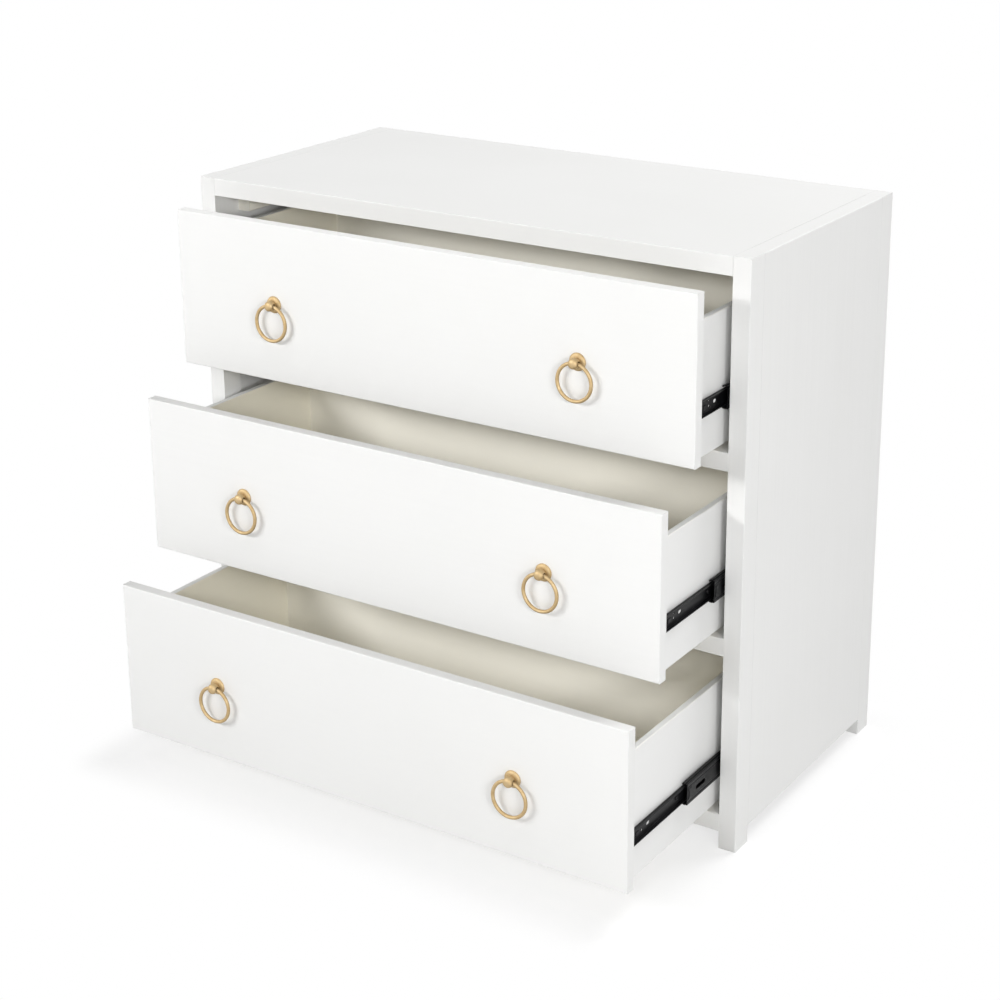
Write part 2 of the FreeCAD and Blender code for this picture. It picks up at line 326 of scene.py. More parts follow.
def painted_board(name, axis, paint, shade, roughness):
    """Lacquer over wood whose grain runs along an axis; returns the material and its parts."""
    material, made, links, shader = node_material(name)
    cloud = noise(made, links, cloud_waves)
    grain = noise(made, links, grain_waves(axis), grain_detail)
    peel = noise(made, links, peel_waves)
    cloudy = blend_colours(made, links, spread(made, links, cloud, 0, 1), paint, shade)
    grain_line = tuple(channel * grain_tone for channel in shade)
    share = grain_share[axis]
    colour = blend_colours(made, links, spread(made, links, grain, 0, share), cloudy, grain_line)
    links.new(colour, shader.inputs["Base Color"])
    rough = spread(made, links, cloud, roughness - smoother, roughness + rougher)
    links.new(rough, shader.inputs["Roughness"])
    bumps(made, links, shader, [(grain, bump_strength * share, grain_depth),
                                (peel, bump_strength, peel_depth)])
    return material, made, links, shader, colour


print("grain along X has", grain_waves("X"), "waves per metre")

# %% Lacquer and wood
white_paint, white_shade = (0.825, 0.825, 0.815), (0.805, 0.805, 0.793)
cream_paint, cream_shade = (0.95, 0.925, 0.84), (0.935, 0.905, 0.81)
white_roughness, cream_roughness = 0.38, 0.50

lacquer, cream = {}, {}
for axis in "XYZ":
    lacquer[axis] = painted_board("white_lacquer_" + axis.lower(), axis, white_paint, white_shade,
                                  white_roughness)[0]
    cream[axis] = painted_board("cream_wood_" + axis.lower(), axis, cream_paint, cream_shade,
                                cream_roughness)[0]
print("boards:", [material.name for material in (*lacquer.values(), *cream.values())])

# %% [markdown]
# A drawer's sides are cream inside like the rest of the box, but white outside and along their top edge,
# where they are seen beside the front. Their inner cream is a little yellower than the box's, and that is
# painted bounce
# light: the warm tint that light takes between cream walls. One material does both: it compares the distance
# from the chest's middle with the outer face, and the height with the top edge, and mixes the two paints
# there.

# %% Two-tone drawer sides
levels = ("top", "middle", "bottom")
# the sides' inner cream is yellower than the box's cream; the extra yellow is painted warm bounce light
bounce_tinted_side_cream, bounce_tinted_side_cream_shade = (0.95, 0.912, 0.785), (0.935, 0.892, 0.755)
side_roughness = 0.45
paint_edge = 0.4 * mm


def along_axes(made, links):
    """Object coordinates as separate X, Y and Z."""
    place = made.new("ShaderNodeTexCoord")
    split = made.new("ShaderNodeSeparateXYZ")
    links.new(place.outputs["Object"], split.inputs["Vector"])
    return split.outputs


def two_tone_side(level):
    """Paint of a level's drawer sides: cream yellowed as painted bounce light, with a white outer face and
    top edge.
    """
    outer_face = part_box("drawer_side_right_" + level)[1]
    material, made, links, shader, colour = painted_board(
        "drawer_side_paint_" + level, "Y", bounce_tinted_side_cream, bounce_tinted_side_cream_shade, side_roughness)
    place = along_axes(made, links)
    reach = calculate(made, links, "ABSOLUTE", place["X"])
    outside = calculate(made, links, "GREATER_THAN", reach, outer_face.x - paint_edge)
    on_top = calculate(made, links, "GREATER_THAN", place["Z"], outer_face.z - paint_edge)
    is_white = calculate(made, links, "MAXIMUM", outside, on_top)
    links.new(blend_colours(made, links, is_white, colour, white_paint), shader.inputs["Base Color"])
    return material


side_paint = {level: two_tone_side(level) for level in levels}
print("two-tone sides:", [material.name for material in side_paint.values()])

# %% [markdown]
# Boards that lie flush meet in a joint, and the lacquer over it shows as a hairline. It is painted on,
# because it is far finer than any edge worth modelling: near the plane of a joint the paint is a little
# darker. The top shows one along each side rail, and each side one beside each post.

# %% Hairlines at the joints
joint_width = 0.55 * mm
joint_darkness = {"X": 0.84, "Y": 0.92}


def jointed(name, axis, joints):
    """White lacquer with hairlines; each joint is an axis and the place of its plane there."""
    material, made, links, shader, colour = painted_board(name, axis, white_paint, white_shade,
                                                          white_roughness)
    place = along_axes(made, links)
    for direction, plane in joints:
        close_by = calculate(made, links, "COMPARE", place[direction], plane, joint_width)
        shade = tuple(channel * joint_darkness[direction] for channel in white_paint)
        colour = blend_colours(made, links, close_by, colour, shade)
    links.new(colour, shader.inputs["Base Color"])
    return material


post_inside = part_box("post_front_right")[0].x
panel_front, panel_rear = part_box("post_front_right")[1].y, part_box("post_rear_right")[0].y
top_finish = jointed("top_lacquer", "X", [("X", -post_inside), ("X", post_inside)])
side_finish = jointed("side_lacquer", "Z", [("Y", panel_front), ("Y", panel_rear)])
print("hairlines at x", round(post_inside, 4), "and y", round(panel_front, 4), round(panel_rear, 4))

# %% [markdown]
# ## Metals
# The slides are rolled steel with a black coat: dark, half glossy, and slightly uneven. The pulls are
# brass, rubbed to a soft sheen rather than polished, so its roughness varies and very fine rub marks run
# over the surface. Cages, balls and screws are bright zinc. In all three, one slow noise drives the colour
# and the gloss together, as wear and handling do.

# %% Black steel
coat_colours, coat_roughness = ((0.004, 0.004, 0.0045), (0.008, 0.008, 0.009)), (0.28, 0.40)
coat_gloss = 0.16
grit_strength, grit_depth = 0.10, 0.03 * mm


def cloudy_finish(made, links, shader, cloud, colours, roughness):
    """Lets a slow noise drive the colour and the gloss."""
    colour = blend_colours(made, links, spread(made, links, cloud, 0, 1), *colours)
    links.new(colour, shader.inputs["Base Color"])
    links.new(spread(made, links, cloud, *roughness), shader.inputs["Roughness"])


def coated_steel():
    """Black coat with a little grit in it."""
    material, made, links, shader = node_material("black_coat")
    cloud = noise(made, links, scale=(40, 40, 40))
    grit = noise(made, links, scale=(1500, 1500, 1500))
    cloudy_finish(made, links, shader, cloud, coat_colours, coat_roughness)
    shader.inputs["Specular IOR Level"].default_value = coat_gloss
    bumps(made, links, shader, [(grit, grit_strength, grit_depth)])
    return material


black_steel = coated_steel()
print("slides:", black_steel.name)

# %% Brass
brass_colours, brass_roughness = ((0.53, 0.405, 0.235), (0.47, 0.345, 0.18)), (0.56, 0.70)
rub_strength, rub_depth = 0.06, 0.04 * mm


def rubbed_brass():
    """Brass with fine rub marks."""
    material, made, links, shader = node_material("rubbed_brass")
    cloud = noise(made, links, scale=(140, 140, 140), detail=4.0)
    marks = noise(made, links, scale=(400, 3000, 400))
    cloudy_finish(made, links, shader, cloud, brass_colours, brass_roughness)
    shader.inputs["Metallic"].default_value = 1.0
    bumps(made, links, shader, [(marks, rub_strength, rub_depth)])
    return material


brass = rubbed_brass()
print("pulls:", brass.name)

# %% Zinc
zinc_colours, zinc_roughness = ((0.62, 0.62, 0.63), (0.50, 0.50, 0.52)), (0.22, 0.38)
zinc_strength, zinc_depth = 0.05, 0.03 * mm


def bright_zinc():
    """Zinc plate, slightly uneven."""
    material, made, links, shader = node_material("bright_zinc")
    cloud = noise(made, links, scale=(300, 300, 300), detail=3.0)
    cloudy_finish(made, links, shader, cloud, zinc_colours, zinc_roughness)
    shader.inputs["Metallic"].default_value = 1.0
    bumps(made, links, shader, [(cloud, zinc_strength, zinc_depth)])
    return material


zinc = bright_zinc()
print("cages, balls and screws:", zinc.name)

# %% [markdown]
# ## Painting the boards
# Each solid keeps its shape and only gets a finish. A table of name beginnings says which finish a board
# takes. The grain follows the board's length, apart from the side rails, which share the finish of the panel
# below them because the lacquer shows no change there.

# %% Paint the solids
finishes = {
    "post_": lacquer["Z"], "side_panel": side_finish, "side_rail": side_finish, "top_panel": top_finish,
    "bottom_rail": lacquer["X"], "divider_rail": lacquer["X"], "drawer_front": lacquer["X"],
    # cleats and battens take the drawers' cream: partly the inside's own colour, partly painted warm bounce
    # light from the drawers
    "rear_rail": lacquer["X"], "back_panel": lacquer["Z"], "top_cleats": cream["Y"],
    "slide_battens": cream["Y"], "drawer_subfront": cream["X"], "drawer_back": cream["X"],
    "drawer_bottom": cream["X"], "slide_cabinet": black_steel, "slide_middle": black_steel,
    "slide_drawer": black_steel, "cage_": zinc, "pull_": brass,
}


def finish_for(name):
    """The finish of a solid; the drawer sides, which the table leaves out, have a paint for each level."""
    for beginning, finish in finishes.items():
        if name.startswith(beginning):
            return finish
    return side_paint[name.rsplit("_", 1)[-1]]


for name, node in nodes.items():
    node.data.materials.clear()
    node.data.materials.append(finish_for(name))
print("painted", len(nodes), "solids")

# %% [markdown]
# ## Rings
# A pull's ring is round brass wire, bent to a circle and closed. A torus would look the same, but a node tree
# makes it as the real one is made: a circle curve is the path, and a second circle, the wire, is swept along
# it. The tree's inputs are the ring's sizes and its place, all taken from the solid ring. `grow` runs a tree
# once and keeps a plain mesh, so nothing is left to compute when the ring swings.

# %% Helpers for node trees


def node_tree(name, sizes):
    """A new geometry tree with named inputs; sizes are (name, socket type) pairs."""
    tree = bpy.data.node_groups.new(name, "GeometryNodeTree")
    for label, kind in sizes:
        tree.interface.new_socket(label, in_out="INPUT", socket_type=kind)
    tree.interface.new_socket("Geometry", in_out="OUTPUT", socket_type="NodeSocketGeometry")
    made = tree.nodes
    return tree, made, tree.links, made.new("NodeGroupInput"), made.new("NodeGroupOutput")


def end_tree(made, links, geometry, given, output):
    """Closes a tree: instances become real, and the given finish is set."""
    real = made.new("GeometryNodeRealizeInstances")
    paint = made.new("GeometryNodeSetMaterial")
    links.new(geometry, real.inputs[0])
    links.new(real.outputs[0], paint.inputs["Geometry"])
    links.new(given.outputs["Finish"], paint.inputs["Material"])
    links.new(paint.outputs[0], output.inputs["Geometry"])


print("node trees can be started and ended")

# %% Growing a piece


def grow(name, tree, values, seeds=()):
    """Runs a node tree on some seed points, as (place, facing) pairs, and keeps a plain mesh."""
    mesh = bpy.data.meshes.new(name)
    mesh.from_pydata([place for place, facing in seeds], [], [])
    facing_list = mesh.attributes.new("facing", "FLOAT_VECTOR", "POINT")
    for item, (place, facing) in zip(facing_list.data, seeds):
        item.vector = facing
    piece = bpy.data.objects.new(name, mesh)
    scene.collection.objects.link(piece)
    modifier = piece.modifiers.new(name, "NODES")
    modifier.node_group = tree
    for socket in tree.interface.items_tree:
        if socket.in_out == "INPUT" and socket.name in values:
            modifier[socket.identifier] = values[socket.name]
    evaluated = piece.evaluated_get(bpy.context.evaluated_depsgraph_get())
    piece.data = bpy.data.meshes.new_from_object(evaluated)
    piece.modifiers.clear()
    return piece


print("pieces can be grown")

# %% A tree that bends a ring
ring_tree, made, links, given, output = node_tree("bent_wire_ring", [
    ("Ring Radius", "NodeSocketFloat"), ("Wire Radius", "NodeSocketFloat"), ("Ring Steps", "NodeSocketInt"),
    ("Wire Steps", "NodeSocketInt"), ("Middle", "NodeSocketVector"), ("Finish", "NodeSocketMaterial")])
path = made.new("GeometryNodeCurvePrimitiveCircle")
wire = made.new("GeometryNodeCurvePrimitiveCircle")
hang = made.new("GeometryNodeTransform")
hang.inputs["Rotation"].default_value = (math.pi / 2, 0, 0)
sweep = made.new("GeometryNodeCurveToMesh")
links.new(given.outputs["Ring Radius"], path.inputs["Radius"])
links.new(given.outputs["Ring Steps"], path.inputs["Resolution"])
links.new(given.outputs["Wire Radius"], wire.inputs["Radius"])
links.new(given.outputs["Wire Steps"], wire.inputs["Resolution"])
links.new(path.outputs["Curve"], hang.inputs["Geometry"])
links.new(given.outputs["Middle"], hang.inputs["Translation"])
links.new(hang.outputs["Geometry"], sweep.inputs["Curve"])
links.new(wire.outputs["Curve"], sweep.inputs["Profile Curve"])
end_tree(made, links, sweep.outputs["Mesh"], given, output)
print("ring tree inputs:", [socket.name for socket in ring_tree.interface.items_tree])

# %% Six brass rings
sides = {"left": -1, "right": 1}
ring_steps, wire_steps = 96, 20

for level in levels:
    for side in sides:
        body = "pull_ring_%s_%s" % (side, level)
        low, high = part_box(body)
        wire_radius = (high.y - low.y) / 2
        ring = grow("brass_ring_%s_%s" % (side, level), ring_tree, {
            "Ring Radius": (high.z - low.z) / 2 - wire_radius, "Wire Radius": wire_radius,
            "Ring Steps": ring_steps, "Wire Steps": wire_steps, "Middle": (low + high) / 2, "Finish": brass})
        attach(ring, body)
        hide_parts(body)
ring_radius = (high.z - low.z) / 2
print("ring radius", round(ring_radius / mm, 2), "mm, wire radius", round(wire_radius / mm, 2), "mm")

# %% [markdown]
# ## Ring posts
# The post of a pull is turned on a lathe: a thin rim, a low dome and a full knob, all one piece, with a hole
# drilled across the knob for the ring. It is made in the same order here. A profile is turned about the
# post's axis, then a Boolean drills the hole where the solid ring passes.

# %% Lathe


def lathe(profile, middle, steps):
    """Turns a profile of (radius, reach) pairs about an axis towards the front through a middle point."""
    mesh = bmesh.new()
    rings = []
    for radius, reach in profile:
        count = steps if radius > 0 else 1
        ring = []
        for step in range(count):
            angle = math.tau * step / steps
            offset = Vector((radius * math.sin(angle), -reach, radius * math.cos(angle)))
            ring.append(mesh.verts.new(middle + offset))
        rings.append(ring)
    for first, second in zip(rings, rings[1:]):
        for step in range(steps):
            corners = [first[step % len(first)], second[step % len(second)],
                       second[(step + 1) % len(second)], first[(step + 1) % len(first)]]
            mesh.faces.new(list(dict.fromkeys(corners)))
    bmesh.ops.recalc_face_normals(mesh, faces=mesh.faces)
    return mesh


print("lathe ready")

# %% Drill


def cut_away(stock, cutters):
    """Takes the cutters' shapes out of the stock; both are bmesh shapes and are used up."""
    things = []
    for shape in (stock, cutters):
        data = bpy.data.meshes.new("blank")
        shape.to_mesh(data)
        shape.free()
        thing = bpy.data.objects.new("blank", data)
        scene.collection.objects.link(thing)
        things.append(thing)
    cut = things[0].modifiers.new("cut", "BOOLEAN")
    cut.operation = "DIFFERENCE"
    cut.solver = "EXACT"
    cut.object = things[1]
    evaluated = things[0].evaluated_get(bpy.context.evaluated_depsgraph_get())
    result = bpy.data.meshes.new_from_object(evaluated)
    for thing in things:
        blank = thing.data
        bpy.data.objects.remove(thing)
        bpy.data.meshes.remove(blank)
    return result


def add_piece(name, mesh, finish, sharp_angle=35):
    """An object at the origin with a finish; edges sharper than the angle stay crisp."""
    mesh.name = name
    mesh.materials.clear()
    mesh.materials.append(finish)
    mesh.polygons.foreach_set("use_smooth", [True] * len(mesh.polygons))
    mesh.set_sharp_from_angle(angle=math.radians(sharp_angle))
    piece = bpy.data.objects.new(name, mesh)
    scene.collection.objects.link(piece)
    return piece


print("drill ready")

# %% Profile of a post
rim_height = 1.2 * mm
rim_softness = 0.35 * mm
dome_height = 3.6 * mm
knob_radius = 7.1 * mm
knob_fullness = 2.8
dome_steps, knob_steps = 8, 24


def post_profile(rosette_radius, knob_reach):
    """Rim, dome and a full round knob from the wall to the tip, as (radius, reach) pairs."""
    neck_share = (knob_reach - dome_height) / knob_radius
    neck_radius = knob_radius * (1 - neck_share ** knob_fullness) ** (1 / knob_fullness)
    neck_angle = math.acos(neck_share ** (knob_fullness / 2))
    profile = [(0, 0), (rosette_radius, 0), (rosette_radius, rim_height - rim_softness),
               (rosette_radius - rim_softness, rim_height)]
    dome_width = rosette_radius - rim_softness - neck_radius
    for step in range(1, dome_steps + 1):
        angle = math.pi / 2 * step / dome_steps
        profile.append((neck_radius + dome_width * math.cos(angle),
                        rim_height + (dome_height - rim_height) * math.sin(angle)))
    for step in range(1, knob_steps):
        angle = neck_angle + (math.pi - neck_angle) * step / knob_steps
        forward = -math.copysign(abs(math.cos(angle)) ** (2 / knob_fullness), math.cos(angle))
        radius = knob_radius * math.sin(angle) ** (2 / knob_fullness)
        profile.append((radius, knob_reach + knob_radius * forward))
    profile.append((0, knob_reach + knob_radius))
    return profile


print("knob", round(2 * knob_radius / mm, 1), "mm across")

# %% Ring posts
lathe_steps, drill_steps = 64, 40
hole_radius = 3.6 * mm
drill_length = 2.5 * knob_radius

for level in levels:
    low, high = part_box("pull_posts_" + level)
    rosette_radius = (high.z - low.z) / 2
    ring_low, ring_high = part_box("pull_ring_right_" + level)
    knob_reach = high.y - (ring_low.y + ring_high.y) / 2
    profile = post_profile(rosette_radius, knob_reach)
    stock, drill = bmesh.new(), bmesh.new()
    for side in sides.values():
        middle = Vector((side * (high.x - rosette_radius), high.y, (low.z + high.z) / 2))
        turned = lathe(profile, middle, lathe_steps)
        single = bpy.data.meshes.new("post")
        turned.to_mesh(single)
        turned.free()
        stock.from_mesh(single)
        bpy.data.meshes.remove(single)
        knob_middle = middle + Vector((0, -knob_reach, 0))
        along_x = Matrix.Translation(knob_middle) @ Matrix.Rotation(math.pi / 2, 4, "Y")
        bmesh.ops.create_cone(drill, cap_ends=True, segments=drill_steps, radius1=hole_radius,
                              radius2=hole_radius, depth=drill_length, matrix=along_x)
    posts = add_piece("brass_posts_" + level, cut_away(stock, drill), brass)
    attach(posts, "drawer_" + level)
    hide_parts("pull_posts_" + level)
print("post faces:", len(posts.data.polygons))

# %% [markdown]
# ## Drawer slides
# Each slide is three channels of steel strip, rolled so that long grooves run along their edges: the balls
# roll in these grooves. A rolled section is the same all along its length, so it is drawn once as a centre
# line, given the strip's thickness, and pulled out along the slide. Holes are punched afterwards with a
# Boolean. Distances across are counted from the drawer's side outwards, heights from the slide's middle.

# %% A strip's outline
strip = 1.0
bend_steps = 4


def rounded(line, radius):
    """The line with each inner corner replaced by a short arc."""
    result = [Vector(line[0])]
    for before, corner, after in zip(line, line[1:], line[2:]):
        corner = Vector(corner)
        back, ahead = Vector(before) - corner, Vector(after) - corner
        trim = min(radius, back.length / 2, ahead.length / 2)
        start, end = corner + back.normalized() * trim, corner + ahead.normalized() * trim
        for step in range(bend_steps + 1):
            share = step / bend_steps
            result.append(start.lerp(corner, share).lerp(corner.lerp(end, share), share))
    return result + [Vector(line[-1])]


def strip_outline(upper_line, radius):
    """Closed outline of the strip: the upper half of its centre line, mirrored and given thickness."""
    upper = rounded(upper_line, radius)
    line = [Vector((point.x, -point.y)) for point in reversed(upper)] + upper
    outer, inner = [], []
    for index, point in enumerate(line):
        along = line[min(index + 1, len(line) - 1)] - line[max(index - 1, 0)]
        across = Vector((-along.y, along.x)).normalized() * strip / 2
        outer.append(point + across)
        inner.append(point - across)
    return outer + inner[::-1]


print("strip thickness:", strip, "mm")

# %% Rolling and punching
punch_steps = 24


def spot_on(side, level):
    """A place on a slide: distance from the drawer's side, place along Y, height above the middle."""
    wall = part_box("drawer_side_right_" + level)[1].x
    low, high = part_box("slide_drawer_" + level)
    middle_height = (low.z + high.z) / 2
    return lambda across, y, height: Vector((side * (wall + across * mm), y, middle_height + height * mm))


def close_between(shape, first, second):
    """Walls between two loops of corners, and a face over each loop."""
    for index in range(len(first)):
        ahead = (index + 1) % len(first)
        shape.faces.new((first[index], first[ahead], second[ahead], second[index]))
    shape.faces.new(first)
    shape.faces.new(second[::-1])


def pull_out(shape, outline, spot, front, back):
    """Adds a closed outline to a shape, pulled out along the slide; spot gives each corner its place."""
    rings = [[shape.verts.new(spot(across, y, height)) for across, height in outline] for y in (front, back)]
    close_between(shape, *rings)


def punch(shape, spot, across, y, height, size_y, size_z):
    """Adds a punch with round ends to a shape; it goes through a strip at a distance across."""
    corner = min(size_y, size_z) / 2
    loop = []
    for step in range(punch_steps):
        angle = math.tau * (step + 0.5) / punch_steps
        reach_y = math.copysign(size_y / 2 - corner, math.cos(angle)) + corner * math.cos(angle)
        reach_z = math.copysign(size_z / 2 - corner, math.sin(angle)) + corner * math.sin(angle)
        loop.append((y + reach_y * mm, height + reach_z))
    rings = [[shape.verts.new(spot(depth, along, rise)) for along, rise in loop]
             for depth in (across - strip, across + strip)]
    close_between(shape, *rings)


print("rolling and punching ready")

# %% [markdown]
# Two pads are pressed out of the strip near a member's front end: a stop on the drawer member, and a waisted
# one on the middle member that stiffens it there. A pressed pad is a loop of corners at the strip and a
# smaller one above it, joined by sloping walls.

# %% Pressed pads
pad_slope = 0.25
stop_place, stop_half_length, stop_low, stop_high = 19 * mm, 4 * mm, -5, 2
stop_base, stop_top = 0.9, 2.0
waist_place, waist_width, waist_height = 6.5 * mm, 10, 8.6
waist_base, waist_top = 9.5, 10.4
waist_steps, waist_narrow = 6, 0.45


def press_pad(shape, spot, loop, base, top):
    """Adds a raised pad: a loop of (y, height) pairs from a base to a top that is a little smaller."""
    middle_y = sum(y for y, height in loop) / len(loop)
    middle_rise = sum(height for y, height in loop) / len(loop)
    rings = []
    for across, share in ((base, 1.0), (top, 1.0 - pad_slope)):
        drawn_in = [(middle_y + (y - middle_y) * share, middle_rise + (height - middle_rise) * share)
                    for y, height in loop]
        rings.append([shape.verts.new(spot(across, y, height)) for y, height in drawn_in])
    close_between(shape, *rings)


def waisted_loop(y, width, height):
    """Outline that is wide at both ends and narrow in the middle."""
    steps = [step / waist_steps - 1 for step in range(2 * waist_steps + 1)]
    waist = [width / 2 * (waist_narrow + (1 - waist_narrow) * step ** 2) * mm for step in steps]
    front = [(y - half, height * step) for half, step in zip(waist, steps)]
    back = [(y + half, height * step) for half, step in zip(waist, steps)]
    return front + back[::-1]


def pressed_pads(kind, front):
    """Pads of a member as (loop, base, top): a stop on the drawer member, a waisted one on the middle."""
    if kind == "slide_drawer":
        near, far = front + stop_place - stop_half_length, front + stop_place + stop_half_length
        loop = [(near, stop_low), (far, stop_low), (far, stop_high), (near, stop_high)]
        return [(loop, stop_base, stop_top)]
    if kind == "slide_middle":
        return [(waisted_loop(front + waist_place, waist_width, waist_height), waist_base, waist_top)]
    return []


print("pads ready")

# %% [markdown]
# The upper half of each section is a line of (across, height) corners in millimetres, with the radius of its
# bends. A punched hole is written as its distance across, distance from the member's front end, height,
# length along the slide and upright width. Most are slots, and two are small round holes.

# %% Sections and holes
sections = {
    "slide_drawer": ([(0.5, 0.5), (0.5, 9.8), (2.7, 9.8), (3.9, 9.4), (5.1, 9.8), (6.0, 9.8)], 1.0),
    "slide_middle": ([(9.1, 0.5), (9.1, 9.2), (8.65, 9.8), (8.65, 11.0), (9.1, 11.6), (9.1, 14.55),
                      (8.5, 14.5), (7.8, 14.15), (7.0, 14.4), (6.2, 14.75), (5.4, 14.9),
                      (4.6, 14.75), (3.6, 14.55), (2.1, 14.5), (2.1, 12.6)], 0.8),
    "slide_cabinet": ([(12.2, 0.5), (12.2, 19.3), (9.0, 19.3), (7.8, 19.6), (6.6, 19.3), (3.5, 19.3),
                       (3.5, 17.4)], 1.0),
}
punched = {
    "slide_drawer": [(0.5, 46.5, 0, 8.0, 4.8), (0.5, 31.5, 4.5, 3.0, 3.0), (0.5, 31.5, -2.5, 3.6, 3.6),
                     (0.5, 181.0, 0, 6.0, 13.0), (0.5, 268.0, 0, 9.0, 4.8)],
    "slide_middle": [(9.1, 35.0, 0, 25.0, 6.0), (9.1, 262.0, 0, 12.0, 6.0)],
    "slide_cabinet": [(12.2, 42.0, 0, 9.0, 4.8), (12.2, 160.0, 0, 5.0, 9.0), (12.2, 270.0, 0, 9.0, 4.8)],
}
print("holes:", {kind: len(holes) for kind, holes in punched.items()})

# %% Three members of each slide
bodies = {"slide_drawer": "drawer_", "slide_middle": "slide_middle_"}
member_sharp_angle = 30


def roll_member(kind, level):
    """Both sides' members of one kind at a level, rolled, punched and pressed."""
    low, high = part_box("%s_%s" % (kind, level))
    outline = strip_outline(*sections[kind])
    spots = [spot_on(side, level) for side in sides.values()]
    blank, punches = bmesh.new(), bmesh.new()
    for spot in spots:
        pull_out(blank, outline, spot, low.y, high.y)
        for across, back, height, size_y, size_z in punched[kind]:
            punch(punches, spot, across, low.y + back * mm, height, size_y, size_z)
    for shape in (blank, punches):
        bmesh.ops.recalc_face_normals(shape, faces=shape.faces)
    mesh = cut_away(blank, punches)
    pads = bmesh.new()
    pads.from_mesh(mesh)
    for spot in spots:
        for loop, base, top in pressed_pads(kind, low.y):
            press_pad(pads, spot, loop, base, top)
    bmesh.ops.recalc_face_normals(pads, faces=pads.faces)
    pads.to_mesh(mesh)
    pads.free()
    return add_piece("rolled_%s_%s" % (kind, level), mesh, black_steel, member_sharp_angle)


for kind in sections:
    for level in levels:
        member = roll_member(kind, level)
        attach(member, "case" if kind == "slide_cabinet" else bodies[kind] + level)
        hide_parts("%s_%s" % (kind, level))
    print(kind, "faces:", len(member.data.polygons))

# %% [markdown]
# ## Balls
# Between the members run rows of hardened balls, held apart by the cages. A row is a line of points with a
# ball on each, which is what instancing is for: one ball is made once and set on every point. The tree puts
# a whole row on each seed point, so a cage needs four seeds: above and below, left and right.

# %% A tree that lays rows of balls
ball_roundness = 2
ball_tree, made, links, given, output = node_tree("ball_rows", [
    ("Rows", "NodeSocketGeometry"), ("Ball Radius", "NodeSocketFloat"), ("Pitch", "NodeSocketVector"),
    ("Balls", "NodeSocketInt"), ("Finish", "NodeSocketMaterial")])
ball = made.new("GeometryNodeMeshIcoSphere")
ball.inputs["Subdivisions"].default_value = ball_roundness
row = made.new("GeometryNodeMeshLine")
on_row, on_seeds = made.new("GeometryNodeInstanceOnPoints"), made.new("GeometryNodeInstanceOnPoints")
smooth = made.new("GeometryNodeSetShadeSmooth")
links.new(given.outputs["Ball Radius"], ball.inputs["Radius"])
links.new(given.outputs["Balls"], row.inputs["Count"])
links.new(given.outputs["Pitch"], row.inputs["Offset"])
links.new(ball.outputs["Mesh"], smooth.inputs["Geometry"])
links.new(row.outputs["Mesh"], on_row.inputs["Points"])
links.new(smooth.outputs["Geometry"], on_row.inputs["Instance"])
links.new(given.outputs["Rows"], on_seeds.inputs["Points"])
links.new(on_row.outputs["Instances"], on_seeds.inputs["Instance"])
end_tree(made, links, on_seeds.outputs["Instances"], given, output)
print("ball tree inputs:", [socket.name for socket in ball_tree.interface.items_tree])

# %% Bearing balls
ball_pitch = 9 * mm
steel_ball_radius = 2.1 * mm
half_cage_sheet = 0.35
rows_across = {"cage_inner": 4.6, "cage_outer": 7.8}

for kind, across in rows_across.items():
    for level in levels:
        cage = "%s_%s" % (kind, level)
        low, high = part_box(cage)
        count = int((high.y - low.y) / ball_pitch)
        start = (low.y + high.y - (count - 1) * ball_pitch) / 2
        rise = (high.z - low.z) / 2 / mm - half_cage_sheet
        seeds = [(spot_on(side, level)(across, start, height), (0, 0, 1))
                 for side in sides.values() for height in (-rise, rise)]
        balls = grow("balls_" + cage, ball_tree, {
            "Ball Radius": steel_ball_radius, "Pitch": (0, ball_pitch, 0), "Balls": count,
            "Finish": zinc}, seeds)
        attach(balls, cage)
    print(kind, "balls in a row:", count)

# %% [markdown]
# ## Screws
# Screws hold the parts that are not glued: from inside each drawer two go into the pulls and four into the
# front, three hold each drawer member, two each cleat, and a row runs round the back board. A pan head with
# a cross is turned and cut once, at a radius of 1, then set on points. Each point carries the way its screw
# faces, and a seeded random turn keeps the crosses from lining up as no real row does.

# %% One pan head
head_shape = [(0, -0.1), (1.0, -0.1), (1.0, 0.22), (0.86, 0.45), (0.5, 0.60), (0, 0.64)]
head_steps, head_sharp_angle = 16, 30
cross_width, cross_reach, cross_depth, cross_middle = 0.22, 1.1, 0.7, 0.65

head = lathe(head_shape, Vector(), head_steps)
for size_x, size_z in ((cross_width, cross_reach), (cross_reach, cross_width)):
    bar = bmesh.new()
    place = Matrix.Translation((0, -cross_middle, 0)) @ Matrix.Diagonal((size_x, cross_depth, size_z, 1))
    bmesh.ops.create_cube(bar, size=1.0, matrix=place)
    head_mesh = cut_away(head, bar)
    head = bmesh.new()
    head.from_mesh(head_mesh)
head.free()
head_mesh.transform(Matrix.Rotation(-math.pi / 2, 4, "X"))
pan_head = add_piece("pan_head", head_mesh, zinc, head_sharp_angle)
print("pan head faces:", len(head_mesh.polygons))

